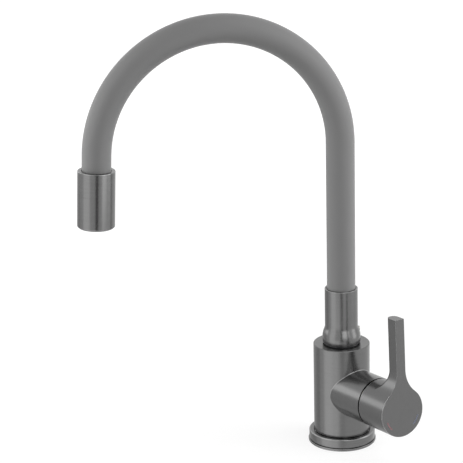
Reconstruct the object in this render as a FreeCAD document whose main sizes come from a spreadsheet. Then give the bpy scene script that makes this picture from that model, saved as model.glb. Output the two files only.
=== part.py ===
import FreeCAD, Part
import math
import os
import re

import Sketcher

# Kitchen mixer tap with one side lever and a flexible, silicone-covered spout.
# The origin is the centre of the base ring on the worktop and +Z is up.
# The branch with the lever points along +X. The spout turns about Z and is drawn
# in its own upright plane, along -Y, before it is turned to its place.

doc = FreeCAD.newDocument("MixerTap")
sheet = doc.addObject("Spreadsheet::Sheet", "Sizes")

SIZES = [
    # Base ring on the worktop and its seal
    ("ring_radius", 26.5, "outer radius of the base ring"),
    ("lip_radius", 27.2, "radius of the thin lip on the worktop"),
    ("lip_height", 2.3, "height of the lip"),
    ("lip_edge", 0.8, "slope on the lip's lower edge"),
    ("ring_height", 10.0, "height of the base ring"),
    ("ring_edge", 0.8, "slope on the ring's upper edge"),
    ("seal_inner", 22.3, "inner radius of the worktop seal"),
    ("seal_outer", 25.0, "outer radius of the worktop seal"),
    ("seal_thick", 2.4, "thickness of the worktop seal, pressed flush"),
    # Body casting
    ("body_radius", 22.5, "radius of the upright body"),
    ("body_top", 83.5, "height of the body"),
    ("body_edge", 0.5, "slope on the body's edges"),
    ("foot_radius", 20.6, "radius of the foot inside the ring"),
    ("foot_level", 1.0, "height of the foot's underside"),
    ("inlet_offset", 9.0, "distance of each inlet from the axis"),
    ("inlet_radius", 4.46, "core radius of the M10x1 inlet thread"),
    ("inlet_depth", 12.0, "depth of the inlet thread"),
    ("feed_radius", 3.0, "radius of the drilled feeds"),
    ("stud_offset", 13.5, "distance of each fixing stud hole from the axis"),
    ("stud_radius", 3.32, "core radius of the M8 stud thread"),
    ("stud_depth", 14.0, "depth of the stud holes"),
    ("riser_radius", 4.0, "radius of the bore up to the spout"),
    ("drill_past", 0.8, "length that an upright bore runs past the one it meets"),
    # Branch that holds the cartridge
    ("branch_level", 45.0, "height at which the branch axis leaves the body's axis"),
    ("branch_tilt", 3.0, "angle by which the branch rises outwards"),
    ("bore_wall", 1.9, "wall of the branch round the cartridge bore"),
    ("branch_fillet", 0.6, "radius of the fillet round the branch's root"),
    ("mouth_place", 48.0, "distance of the branch mouth from the axis"),
    ("mouth_wall", 1.0, "wall left at the mouth"),
    ("mouth_depth", 5.2, "depth of the wider mouth"),
    ("seat_place", 15.1, "distance of the cartridge seat from the axis"),
    ("port_radius", 2.6, "radius of the hot and cold ports"),
    ("port_side", 7.4, "sideways distance of the hot and cold ports"),
    ("port_rise", 5.0, "height of the hot and cold ports over the branch axis"),
    ("outlet_radius", 3.0, "radius of the mixed water port"),
    ("outlet_drop", 4.5, "depth of the mixed water port under the branch axis"),
    # Cartridge
    ("cartridge_radius", 17.4, "outer radius of the cartridge"),
    ("base_thick", 4.5, "thickness of the cartridge base"),
    ("port_seal_inner", 3.1, "inner radius of a port seal"),
    ("port_seal_outer", 4.5, "outer radius of a port seal"),
    ("port_seal_thick", 1.6, "thickness of a port seal"),
    ("fixed_disc_gap", 0.5, "gap between the fixed ceramic disc and the housing"),
    ("fixed_disc_thick", 4.0, "thickness of the fixed ceramic disc"),
    ("moving_disc_radius", 10.2, "radius of the moving ceramic disc"),
    ("moving_disc_thick", 3.5, "thickness of the moving ceramic disc"),
    ("chamber_radius", 6.5, "radius of the mixing chamber in the moving disc"),
    ("chamber_depth", 1.8, "depth of the mixing chamber"),
    ("driver_thick", 3.0, "thickness of the driver plate on the moving disc"),
    ("tongue_width", 6.0, "width of the driver's tongue"),
    ("tongue_half", 4.4, "half height of the driver's tongue"),
    ("tongue_past_tip", 2.7, "length of the tongue beyond the stem's tip"),
    ("housing_wall", 1.7, "wall of the cartridge housing"),
    ("housing_lid", 1.8, "thickness of the housing's lid"),
    ("lid_bore", 12.3, "radius of the hole in the housing's lid"),
    ("carrier_shoulder", 14.4, "length of the carrier from its foot to its shoulder"),
    ("carrier_wall", 1.3, "wall of the carrier around the moving disc"),
    ("neck_radius", 8.0, "radius of the carrier's neck"),
    ("neck_past_pin", 2.2, "length of the neck beyond the pin"),
    ("nut_thick", 3.0, "thickness of the retaining nut"),
    ("nut_flats", 26.0, "width across the flats inside the retaining nut"),
    ("running", 0.05, "clearance of parts that turn or slide in each other"),
    ("slack", 0.2, "clearance of parts that pass without guiding"),
    # Stem, pin and lever
    ("seam", 1.4, "gap between the branch and the lever's cap"),
    ("pin_reach", 14.0, "distance of the tilting pin from the cap's rim"),
    ("pin_radius", 2.0, "radius of the tilting pin"),
    ("pin_length", 14.0, "length of the tilting pin"),
    ("stem_arm", 21.0, "distance from the pin to the stem's tip"),
    ("stem_side", 6.0, "side of the square stem"),
    ("tilt_angle", 20.0, "angle through which the lever tilts"),
    ("tip_radius", 2.65, "radius of the stem's rounded tip"),
    ("tip_neck", 1.5, "half thickness of the stem behind its tip"),
    ("tip_neck_length", 6.4, "length of the thinner part behind the tip"),
    ("cap_radius", 19.6, "radius of the lever's cap"),
    ("face_place", 79.5, "distance of the lever's face from the axis"),
    ("cap_edge", 0.5, "slope on the cap's edges"),
    ("cap_wall", 2.0, "wall of the cap around its hollow"),
    ("cap_front", 9.2, "thickness of the cap's front"),
    ("socket_depth", 5.0, "depth of the square socket for the stem"),
    ("blade_width", 8.2, "width of the lever blade"),
    ("blade_depth", 12.0, "depth of the lever blade"),
    ("blade_reach", 74.8, "height of the blade's end over the branch axis"),
    ("blade_round", 3.8, "radius of the blade's rear corners"),
    ("flare_radius", 25.0, "radius of the hollow curves from the cap to the blade"),
    ("flare_bite", 0.06, "depth to which those curves run into the cap"),
    ("scoop_radius", 17.0, "radius of the hollow curve behind the blade"),
    ("screw_radius", 2.1, "radius of the lever's grub screw"),
    ("screw_length", 8.0, "length of the lever's grub screw"),
    ("plug_radius", 2.6, "radius of the plug over the grub screw"),
    ("plug_length", 3.0, "length of the plug"),
    ("mark_inset", 3.6, "distance of the hot and cold marks from the cap's edge"),
    ("mark_width", 1.0, "width of a mark"),
    ("mark_angle", 30.0, "length of a mark as an angle"),
    ("mark_place", 56.0, "angle of each mark from straight down"),
    ("mark_depth", 0.4, "depth of the recess for a mark"),
    # Swivel between the body and the spout
    ("shank_radius", 9.0, "radius of the spigot's threaded shank"),
    ("shank_length", 11.0, "length of the spigot's threaded shank"),
    ("spigot_radius", 10.9, "radius of the spigot that the spout turns on"),
    ("spigot_bore", 6.0, "radius of the spigot's bore"),
    ("spigot_flange", 11.8, "radius of the spigot's flange"),
    ("spigot_height", 21.5, "height of the spigot over the body"),
    ("glide_thick", 1.0, "thickness of the glide ring under the spout"),
    ("glide_inner", 12.0, "inner radius of the glide ring"),
    ("glide_outer", 13.9, "outer radius of the glide ring"),
    ("oring_wire", 0.85, "radius of an O-ring's section"),
    ("oring_low", 4.0, "height of the lower O-ring over the spout's foot"),
    ("oring_high", 15.0, "height of the upper O-ring over the spout's foot"),
    ("latch_height", 9.4, "height of the groove for the spout's grub screw"),
    ("latch_width", 4.6, "width of that groove"),
    ("latch_depth", 1.4, "depth of that groove"),
    # Collar at the foot of the spout
    ("collar_radius", 13.15, "radius of the collar's upper part"),
    ("collar_top", 129.4, "height of the collar's rim"),
    ("ball_radius", 15.2, "radius of the collar's ball"),
    ("ball_level", 89.5, "height of the ball's centre"),
    ("ball_fillet", 6.0, "radius of the hollow above the ball"),
    ("collar_web", 3.0, "thickness of the wall between spigot and hose socket"),
    ("collar_bore", 6.0, "radius of the hole through that wall"),
    ("socket_radius", 11.6, "radius of the hose sockets"),
    ("socket_grip", 6.0, "depth of the hose's cover in its sockets"),
    ("latch_screw", 2.0, "radius of the spout's grub screw"),
    # Flexible hose
    ("sleeve_radius", 11.25, "outer radius of the silicone cover"),
    ("sleeve_bore", 8.8, "inner radius of the silicone cover"),
    ("core_radius", 8.7, "outer radius of the gooseneck"),
    ("core_bore", 6.4, "inner radius of the gooseneck"),
    ("tube_radius", 6.2, "outer radius of the water tube"),
    ("tube_bore", 4.2, "inner radius of the water tube"),
    ("ferrule_length", 12.0, "length of the hose fittings"),
    ("ferrule_wall", 2.6, "thickness of a fitting's closed end"),
    ("ferrule_bore", 4.2, "radius of the hole in a fitting's end"),
    ("riser_top", 248.2, "height at which the hose starts to bend"),
    ("bend_radius", 95.3, "radius of the hose's arch"),
    ("bend_angle", 177.2, "angle of the hose's arch"),
    ("drop_length", 11.5, "straight hose between the arch and the head"),
    ("bend_low", 76.0, "depth of the first bending place under the arch"),
    ("bend_high", 26.0, "depth of the second bending place under the arch"),
    ("first_bend_angle", 40.0, "angle of the arch at its first bending place"),
    ("middle_bend_angle", 90.0, "angle of the arch at its second bending place"),
    ("last_bend_angle", 140.0, "angle of the arch at its third bending place"),
    ("joint_ball", 14.0, "radius of the round ends where the hose bends"),
    ("joint_gap", 0.3, "gap between two lengths of hose"),
    ("spout_angle", -20.0, "angle of the spout from -Y"),
    # Head with the aerator
    ("head_radius", 14.5, "radius of the head"),
    ("head_length", 44.8, "length of the head"),
    ("head_edge", 1.2, "slope on the head's lower edge"),
    ("head_web", 3.0, "thickness of the wall over the aerator"),
    ("aerator_radius", 11.9, "radius of the aerator's M24x1 thread"),
    ("aerator_height", 9.0, "height of the aerator's ring"),
    ("aerator_wall", 1.4, "wall of the aerator's ring"),
    ("aerator_inset", 0.6, "depth of the aerator in the head"),
    ("aerator_seal", 2.0, "thickness of the aerator's seal"),
    ("mesh_thick", 1.2, "thickness of the mesh under the aerator"),
]

# Sizes that follow from those above
TIED_SIZES = [
    ("bore_radius", "cartridge_radius + slack", "radius of the cartridge bore"),
    ("branch_radius", "bore_radius + bore_wall", "radius of the branch"),
    ("fixed_disc_radius", "cartridge_radius - housing_wall - fixed_disc_gap", "radius of the fixed ceramic disc"),
]

for row, (alias, given, note) in enumerate(SIZES + TIED_SIZES, 1):
    sheet.set("A%d" % row, alias)
    sheet.set("B%d" % row, "=%s" % given)
    sheet.set("C%d" % row, note)
    sheet.setAlias("B%d" % row, alias)
doc.recompute()
ALIASES = {alias for alias, given, note in SIZES + TIED_SIZES}


def bind(formula):
    """The formula with each size's name pointed at its cell."""
    return re.sub(r"[a-z_]+", lambda m: "Sizes." + m.group(0) if m.group(0) in ALIASES else m.group(0), formula)


def value(formula):
    """The number that a formula of sizes gives."""
    result = sheet.evalExpression(bind(formula))
    return float(getattr(result, "Value", result))


# Helpers for sketches and features

def new_body(name):
    body = doc.addObject("PartDesign::Body", name)
    body.Label = name
    return body


def new_sketch(body, name, plane, level="0"):
    """A sketch on one of the body's own planes, moved along the plane's normal by level.

    On the plane "Branch" the sketch is square to the branch, with its origin on the branch axis.
    """
    sketch = body.newObject("Sketcher::SketchObject", name)
    role = "YZ_Plane" if plane == "Branch" else plane
    origin_plane = next(item for item in body.Origin.OriginFeatures if item.Role == role)
    sketch.AttachmentSupport = [(origin_plane, "")]
    sketch.MapMode = "FlatFace"
    if plane == "Branch":
        risen = FreeCAD.Rotation(FreeCAD.Vector(1, 0, 0), -value("branch_tilt"))
        sketch.AttachmentOffset = FreeCAD.Placement(FreeCAD.Vector(0, 0, 0), risen)
        rise = "(" + level + ") * sin(branch_tilt)"
        sketch.setExpression("AttachmentOffset.Base.y", bind("branch_level + " + rise))
        level = "(" + level + ") * cos(branch_tilt)"
    sketch.setExpression("AttachmentOffset.Base.z", bind(level))
    return sketch


def tie(sketch, kind, edge, point, formula):
    """Hold a point of the sketch at a formula's distance, or on the axis where it is zero."""
    number = value(formula)
    if formula == "0":
        axis = -2 if kind == "DistanceX" else -1
        sketch.addConstraint(Sketcher.Constraint("PointOnObject", edge, point, axis))
        return
    index = sketch.addConstraint(Sketcher.Constraint(kind, -1, 1, edge, point, number))
    sketch.renameConstraint(index, "c%d" % index)
    sketch.setExpression("Constraints.c%d" % index, bind(formula))


def draw_outline(sketch, corners):
    """A closed outline of straight edges and arcs through the corners.

    A corner is (across, up), or (across, up, radius, turn) where the edge that leaves it
    is an arc: turn is 1 if the arc runs anticlockwise and -1 if it runs clockwise.
    """
    first = sketch.GeometryCount
    ends = []
    places = [FreeCAD.Vector(value(corner[0]), value(corner[1]), 0) for corner in corners]
    for index, corner in enumerate(corners):
        here = places[index]
        there = places[(index + 1) % len(places)]
        if len(corner) == 2:
            sketch.addGeometry(Part.LineSegment(here, there), False)
            ends.append((1, 2))
            continue
        radius = value(corner[2])
        turn = corner[3]
        chord = there - here
        rise = math.sqrt(max(radius ** 2 - (chord.Length / 2) ** 2, 0.0))
        side = FreeCAD.Vector(-chord.y, chord.x, 0).normalize()
        centre = (here + there) * 0.5 + side * rise * turn
        start = math.atan2(here.y - centre.y, here.x - centre.x)
        end = math.atan2(there.y - centre.y, there.x - centre.x)
        if turn < 0:
            start, end = end, start
        circle = Part.Circle(centre, FreeCAD.Vector(0, 0, 1), radius)
        sketch.addGeometry(Part.ArcOfCircle(circle, start, end), False)
        ends.append((1, 2) if turn > 0 else (2, 1))
    for index, corner in enumerate(corners):
        after = (index + 1) % len(corners)
        edge = first + index
        sketch.addConstraint(Sketcher.Constraint("Coincident", edge, ends[index][1], first + after, ends[after][0]))
        tie(sketch, "DistanceX", edge, ends[index][0], corner[0])
        tie(sketch, "DistanceY", edge, ends[index][0], corner[1])
        if len(corner) == 4:
            held = sketch.addConstraint(Sketcher.Constraint("Radius", edge, value(corner[2])))
            sketch.renameConstraint(held, "c%d" % held)
            sketch.setExpression("Constraints.c%d" % held, bind(corner[2]))


def draw_circle(sketch, across, up, radius):
    centre = FreeCAD.Vector(value(across), value(up), 0)
    edge = sketch.addGeometry(Part.Circle(centre, FreeCAD.Vector(0, 0, 1), value(radius)), False)
    tie(sketch, "DistanceX", edge, 3, across)
    tie(sketch, "DistanceY", edge, 3, up)
    held = sketch.addConstraint(Sketcher.Constraint("Radius", edge, value(radius)))
    sketch.renameConstraint(held, "c%d" % held)
    sketch.setExpression("Constraints.c%d" % held, bind(radius))


def box_corners(left, right, low, high):
    return [(left, low), (right, low), (right, high), (left, high)]


def turn_profile(body, name, corners, cut=False, axis="V_Axis"):
    """A solid, or a groove, turned from an outline in the XZ plane about that plane's Z or X axis."""
    sketch = new_sketch(body, name + "_profile", "XZ_Plane")
    draw_outline(sketch, corners)
    kind = "PartDesign::Groove" if cut else "PartDesign::Revolution"
    feature = body.newObject(kind, name)
    feature.Profile = sketch
    feature.ReferenceAxis = (sketch, [axis])
    feature.Angle = 360.0
    return feature


def extrude(body, name, sketch, length, cut=False, reverse=False, both=False):
    feature = body.newObject("PartDesign::Pocket" if cut else "PartDesign::Pad", name)
    feature.Profile = sketch
    feature.setExpression("Length", bind(length))
    feature.Reversed = reverse
    feature.Midplane = both
    return feature


def drill(body, name, plane, level, circles, depth, reverse=False, both=False):
    """Round holes, each (across, up, radius), sunk from a plane's level."""
    sketch = new_sketch(body, name + "_circles", plane, level)
    for across, up, radius in circles:
        draw_circle(sketch, across, up, radius)
    return extrude(body, name, sketch, depth, cut=True, reverse=reverse, both=both)


def round_edges(body, name, radius, chosen):
    """Round the edges of the body's last feature whose middle points pass the test."""
    doc.recompute()
    last = body.Tip
    edges = []
    for number, edge in enumerate(last.Shape.Edges, 1):
        middle = edge.valueAt((edge.FirstParameter + edge.LastParameter) / 2)
        if chosen(middle):
            edges.append("Edge%d" % number)
    feature = body.newObject("PartDesign::Fillet", name)
    feature.Base = (last, edges)
    feature.setExpression("Radius", bind(radius))
    return feature


def turned(name, corners):
    """A sub-part that is one turned solid."""
    body = new_body(name)
    turn_profile(body, name + "_turned", corners)
    return body


def ring(name, inner, outer, low, high):
    return turned(name, box_corners(inner, outer, low, high))


def along_branch(body):
    """Lay a body that was drawn about Z along the branch: its Z runs outwards, its X points down."""
    body.Placement.Rotation = FreeCAD.Rotation(FreeCAD.Vector(0, 1, 0), 90 - value("branch_tilt"))
    body.setExpression("Placement.Base.z", bind("branch_level"))
    return body


def with_spout(part):
    """Turn a piece of the spout from -Y to where the spout points."""
    part.Placement = FreeCAD.Placement(
        FreeCAD.Vector(0, 0, 0), FreeCAD.Rotation(FreeCAD.Vector(0, 0, 1), value("spout_angle")))
    return part


# Base ring and the seal in its underside

turned("base_ring", [
    ("foot_radius + slack", "0"),
    ("seal_inner - slack", "0"),
    ("seal_inner - slack", "seal_thick + slack"),
    ("seal_outer + slack", "seal_thick + slack"),
    ("seal_outer + slack", "0"),
    ("lip_radius - lip_edge", "0"),
    ("lip_radius", "lip_edge"),
    ("lip_radius", "lip_height"),
    ("ring_radius", "lip_height"),
    ("ring_radius", "ring_height - ring_edge"),
    ("ring_radius - ring_edge", "ring_height"),
    ("foot_radius + slack", "ring_height"),
])

ring("worktop_seal", "seal_inner", "seal_outer", "0", "seal_thick")


# Body casting: upright body, branch, cartridge bore, feeds and threaded holes

casting = new_body("body_casting")
turn_profile(casting, "upright", [
    ("0", "foot_level"),
    ("foot_radius", "foot_level"),
    ("foot_radius", "ring_height"),
    ("body_radius - body_edge", "ring_height"),
    ("body_radius", "ring_height + body_edge"),
    ("body_radius", "body_top - body_edge"),
    ("body_radius - body_edge", "body_top"),
    ("shank_radius", "body_top"),
    ("shank_radius", "body_top - shank_length - slack"),
    ("riser_radius", "body_top - shank_length - slack"),
    ("riser_radius", "branch_level - outlet_drop - outlet_radius - drill_past"),
    ("0", "branch_level - outlet_drop - outlet_radius - drill_past"),
])
# The branch starts beside the bore up to the spout, deep enough for the body to hold the whole of its end
BRANCH_ROOT = "riser_radius + branch_radius * sin(branch_tilt) + slack"
branch_circle = new_sketch(casting, "branch_circle", "Branch", BRANCH_ROOT)
draw_circle(branch_circle, "0", "0", "branch_radius")
extrude(casting, "branch", branch_circle, "mouth_place - (" + BRANCH_ROOT + ")")


def on_branch_root(point):
    """Whether a point lies both on the upright's side and on the branch's side."""
    tilt = math.radians(value("branch_tilt"))
    rise = (point.z - value("branch_level")) * math.cos(tilt) - point.x * math.sin(tilt)
    from_axis = math.hypot(point.x, point.y)
    from_branch = math.hypot(point.y, rise)
    return abs(from_axis - value("body_radius")) < 0.01 and abs(from_branch - value("branch_radius")) < 0.01


round_edges(casting, "branch_fillet_round", "branch_fillet", on_branch_root)
drill(casting, "cartridge_bore", "Branch", "mouth_place",
      [("0", "0", "bore_radius")], "mouth_place - seat_place")
drill(casting, "mouth", "Branch", "mouth_place",
      [("0", "0", "branch_radius - mouth_wall")], "mouth_depth")
drill(casting, "cross_feeds", "Branch", "seat_place",
      [("port_side", "port_rise", "port_radius"),
       ("-port_side", "port_rise", "port_radius"),
       ("0", "-outlet_drop", "outlet_radius")], "seat_place")
drill(casting, "upright_feeds", "XY_Plane", "foot_level",
      [("0", "inlet_offset", "feed_radius"), ("0", "-inlet_offset", "feed_radius")],
      "branch_level + port_rise + port_radius + drill_past - foot_level", reverse=True)
drill(casting, "inlet_threads", "XY_Plane", "foot_level",
      [("0", "inlet_offset", "inlet_radius"), ("0", "-inlet_offset", "inlet_radius")],
      "inlet_depth", reverse=True)
drill(casting, "stud_threads", "XY_Plane", "foot_level",
      [("stud_offset", "0", "stud_radius"), ("-stud_offset", "0", "stud_radius")],
      "stud_depth", reverse=True)


# Cartridge: drawn about Z from the seat outwards, then laid along the branch.
# In these sketches the first axis points down on the tap and the second axis is Y.

BASE_TOP = "seat_place + base_thick"
FIXED_TOP = BASE_TOP + " + fixed_disc_thick"
MOVING_TOP = FIXED_TOP + " + moving_disc_thick"
DRIVER_TOP = MOVING_TOP + " + driver_thick"
CARRIER_FOOT = FIXED_TOP + " + slack"
SHOULDER = CARRIER_FOOT + " + carrier_shoulder"
LID_TOP = SHOULDER + " + slack + housing_lid"
RIM = "mouth_place + seam"
PIN = RIM + " + pin_reach"
TIP = PIN + " - stem_arm"
STROKE = "stem_arm * sin(tilt_angle)"

PORTS = [("-port_rise", "-port_side"), ("-port_rise", "port_side"), ("outlet_drop", "0")]
PORT_NAMES = ["hot", "cold", "mixed"]
PORT_BORES = ["port_radius", "port_radius", "outlet_radius"]

cartridge_base = turned("cartridge_base", box_corners("0", "cartridge_radius", "seat_place", BASE_TOP))
drill(cartridge_base, "ports", "XY_Plane", "seat_place",
      [(across, up, bore) for (across, up), bore in zip(PORTS, PORT_BORES)], "base_thick", reverse=True)
drill(cartridge_base, "seal_seats", "XY_Plane", "seat_place",
      [(across, up, "port_seal_outer + running") for across, up in PORTS],
      "port_seal_thick + running", reverse=True)
along_branch(cartridge_base)

for (across, up), port in zip(PORTS, PORT_NAMES):
    port_seal = new_body("port_seal_" + port)
    seal_circles = new_sketch(port_seal, "seal_circles_" + port, "XY_Plane", "seat_place")
    draw_circle(seal_circles, across, up, "port_seal_outer")
    draw_circle(seal_circles, across, up, "port_seal_inner")
    extrude(port_seal, "seal_" + port, seal_circles, "port_seal_thick")
    along_branch(port_seal)

fixed_disc = turned("fixed_disc", box_corners("0", "fixed_disc_radius", BASE_TOP, FIXED_TOP))
drill(fixed_disc, "disc_ports", "XY_Plane", BASE_TOP,
      [(across, up, bore) for (across, up), bore in zip(PORTS, PORT_BORES)], "fixed_disc_thick", reverse=True)
along_branch(fixed_disc)

# Closed, the moving disc and its driver sit half a stroke below the branch axis
HALF_STROKE = STROKE + " / 2"

moving_disc = new_body("moving_disc")
disc_circle = new_sketch(moving_disc, "disc_circle", "XY_Plane", FIXED_TOP)
draw_circle(disc_circle, HALF_STROKE, "0", "moving_disc_radius")
extrude(moving_disc, "disc", disc_circle, "moving_disc_thick")
drill(moving_disc, "chamber", "XY_Plane", FIXED_TOP,
      [(HALF_STROKE, "0", "chamber_radius")], "chamber_depth", reverse=True)
along_branch(moving_disc)

driver = new_body("disc_driver")
plate_circle = new_sketch(driver, "plate_circle", "XY_Plane", MOVING_TOP)
draw_circle(plate_circle, HALF_STROKE, "0", "moving_disc_radius")
extrude(driver, "plate", plate_circle, "driver_thick")
tongue_box = new_sketch(driver, "tongue_box", "XY_Plane", MOVING_TOP)
draw_outline(tongue_box, box_corners("-tongue_half", "tongue_half", "-tongue_width / 2", "tongue_width / 2"))
extrude(driver, "tongue", tongue_box, TIP + " + tongue_past_tip - (" + MOVING_TOP + ")")
tongue_slot = new_sketch(driver, "tongue_slot_box", "XZ_Plane")
draw_outline(tongue_slot, box_corners(
    "-tip_radius - 2 * running", "tip_radius + 2 * running",
    TIP + " - tip_radius - slack", TIP + " + tongue_past_tip + slack"))
extrude(driver, "tongue_slot", tongue_slot, "tongue_width + slack", cut=True, both=True)
along_branch(driver)

housing = turned("cartridge_housing", [
    ("cartridge_radius - housing_wall", BASE_TOP),
    ("cartridge_radius", BASE_TOP),
    ("cartridge_radius", LID_TOP),
    ("lid_bore", LID_TOP),
    ("lid_bore", SHOULDER + " + slack"),
    ("cartridge_radius - housing_wall", SHOULDER + " + slack"),
])
along_branch(housing)

# The carrier turns in the housing; its forked neck holds the tilting pin
carrier = turned("carrier", [
    ("0", DRIVER_TOP + " + slack"),
    ("cartridge_radius - housing_wall - running - carrier_wall", DRIVER_TOP + " + slack"),
    ("cartridge_radius - housing_wall - running - carrier_wall", CARRIER_FOOT),
    ("cartridge_radius - housing_wall - running", CARRIER_FOOT),
    ("cartridge_radius - housing_wall - running", SHOULDER),
    ("neck_radius", SHOULDER),
    ("neck_radius", PIN + " + neck_past_pin"),
    ("0", PIN + " + neck_past_pin"),
])
fork_slot = new_sketch(carrier, "fork_slot_box", "XY_Plane", DRIVER_TOP + " - slack")
draw_outline(fork_slot, box_corners(
    "-tongue_half - " + STROKE + " - slack", "neck_radius + slack",
    "-tongue_width / 2 - slack", "tongue_width / 2 + slack"))
extrude(carrier, "fork_slot", fork_slot, PIN + " + neck_past_pin - (" + DRIVER_TOP + ") + slack * 3",
        cut=True, reverse=True)
drill(carrier, "pin_hole", "XZ_Plane", "0", [("0", PIN, "pin_radius")],
      "2 * neck_radius + slack", both=True)
along_branch(carrier)

stem_pin = new_body("stem_pin")
pin_circle = new_sketch(stem_pin, "pin_circle", "XZ_Plane")
draw_circle(pin_circle, "0", PIN, "pin_radius - running / 5")
extrude(stem_pin, "pin", pin_circle, "pin_length", both=True)
along_branch(stem_pin)

nut = turned("retaining_nut", box_corners(
    "nut_flats / 2 - slack", "bore_radius - running", LID_TOP, LID_TOP + " + nut_thick"))
nut_hexagon = new_sketch(nut, "nut_hexagon", "XY_Plane", LID_TOP)
draw_outline(nut_hexagon, [
    ("%s * nut_flats / sqrt(3)" % across, "%s * nut_flats / sqrt(3)" % up)
    for across, up in [("cos(%d)" % angle, "sin(%d)" % angle) for angle in range(30, 390, 60)]
])
extrude(nut, "nut_socket", nut_hexagon, "nut_thick", cut=True, reverse=True)
along_branch(nut)


# Stem: a square bar from the lever, through the pin, to a rounded tip in the driver

stem = new_body("stem")
STEM_END = "face_place - cap_front + socket_depth - slack"
SHAFT_FOOT = TIP + " + tip_neck_length"
tip_circle = new_sketch(stem, "tip_circle", "XZ_Plane")
draw_circle(tip_circle, "0", TIP, "tip_radius")
extrude(stem, "tip", tip_circle, "tongue_width", both=True)
neck_box = new_sketch(stem, "neck_box", "XZ_Plane")
draw_outline(neck_box, box_corners("-tip_neck", "tip_neck", TIP, SHAFT_FOOT + " + slack"))
extrude(stem, "tip_neck", neck_box, "tongue_width", both=True)
shaft_box = new_sketch(stem, "shaft_box", "XZ_Plane")
draw_outline(shaft_box, box_corners("-stem_side / 2", "stem_side / 2", SHAFT_FOOT, STEM_END))
extrude(stem, "shaft", shaft_box, "stem_side", both=True)
drill(stem, "stem_hole", "XZ_Plane", "0", [("0", PIN, "pin_radius + running")], "stem_side + slack", both=True)
along_branch(stem)


# Lever: a round cap whose flat face runs up into a square blade.
# Drawn upright: the first axis of the YZ sketches is Y, the second is the height over the branch axis.

lever = new_body("lever")
FLARE_Y = "(blade_width / 2 + flare_radius)"
BITE_RADIUS = "(cap_radius - flare_bite)"
FLARE_REACH = "(cap_radius - flare_bite + flare_radius)"
FLARE_Z = "sqrt(" + FLARE_REACH + " ^ 2 - " + FLARE_Y + " ^ 2)"
TOUCH_Y = BITE_RADIUS + " * " + FLARE_Y + " / " + FLARE_REACH
TOUCH_Z = BITE_RADIUS + " * " + FLARE_Z + " / " + FLARE_REACH
blade_outline = new_sketch(lever, "blade_outline", "YZ_Plane", "face_place")
draw_outline(blade_outline, [
    (TOUCH_Y, TOUCH_Z, "flare_radius", -1),
    ("blade_width / 2", FLARE_Z),
    ("blade_width / 2", "blade_reach"),
    ("-blade_width / 2", "blade_reach"),
    ("-blade_width / 2", FLARE_Z, "flare_radius", -1),
    ("-" + TOUCH_Y, TOUCH_Z, BITE_RADIUS, 1),
    ("0", "-" + BITE_RADIUS, BITE_RADIUS, 1),
])
extrude(lever, "blade", blade_outline, "face_place - (" + RIM + ")", reverse=True)
BLADE_BACK = "face_place - blade_depth"
SCOOP_Z = TOUCH_Z + " + scoop_radius"
scoop_outline = new_sketch(lever, "scoop_outline", "XZ_Plane")
draw_outline(scoop_outline, [
    (RIM + " - slack", TOUCH_Z),
    (BLADE_BACK + " - scoop_radius", TOUCH_Z, "scoop_radius", 1),
    (BLADE_BACK, SCOOP_Z),
    (BLADE_BACK, "blade_reach + slack"),
    (RIM + " - slack", "blade_reach + slack"),
])
extrude(lever, "scoop", scoop_outline, "3 * cap_radius", cut=True, both=True)


def on_blade_back(point):
    """Whether a point lies on a side edge of the blade's back, above the cap."""
    back = value(BLADE_BACK)
    return abs(point.x - back) < 0.01 and abs(abs(point.y) - value("blade_width") / 2) < 0.01


round_edges(lever, "blade_corners", "blade_round", on_blade_back)
turn_profile(lever, "cap", [
    (RIM, "0"),
    (RIM, "cap_radius - cap_edge"),
    (RIM + " + cap_edge", "cap_radius"),
    ("face_place - cap_edge", "cap_radius"),
    ("face_place", "cap_radius - cap_edge"),
    ("face_place", "0"),
], axis="H_Axis")
turn_profile(lever, "cap_hollow", [
    (RIM + " - slack", "0"),
    (RIM + " - slack", "cap_radius - cap_wall"),
    ("face_place - cap_front", "cap_radius - cap_wall"),
    ("face_place - cap_front", "0"),
], cut=True, axis="H_Axis")
socket_box = new_sketch(lever, "socket_box", "YZ_Plane", "face_place - cap_front")
draw_outline(socket_box, box_corners(
    "-stem_side / 2 - running", "stem_side / 2 + running",
    "-stem_side / 2 - running", "stem_side / 2 + running"))
extrude(lever, "stem_socket", socket_box, "socket_depth", cut=True, reverse=True)
SCREW_X = "face_place - cap_front + socket_depth / 2"
drill(lever, "screw_hole", "XY_Plane", "-cap_radius", [(SCREW_X, "0", "screw_radius + running")],
      "cap_radius - stem_side / 2", reverse=True)
drill(lever, "plug_hole", "XY_Plane", "-cap_radius", [(SCREW_X, "0", "plug_radius + running")],
      "plug_length", reverse=True)


def on_lever(body):
    """Raise a body that was drawn along +X to the branch, and lay it along the branch axis."""
    body.Placement.Rotation = FreeCAD.Rotation(FreeCAD.Vector(0, 1, 0), -value("branch_tilt"))
    body.setExpression("Placement.Base.z", bind("branch_level"))
    return body


def mark_corners(middle):
    """A short curved bar on the lever's face, about an angle measured from +Y."""
    low = "(%s - mark_angle / 2)" % middle
    high = "(%s + mark_angle / 2)" % middle
    outer = "(cap_radius - mark_inset)"
    inner = "(cap_radius - mark_inset - mark_width)"
    return [
        (outer + " * cos" + low, outer + " * sin" + low, outer, 1),
        (outer + " * cos" + high, outer + " * sin" + high),
        (inner + " * cos" + high, inner + " * sin" + high, inner, -1),
        (inner + " * cos" + low, inner + " * sin" + low),
    ]


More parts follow.
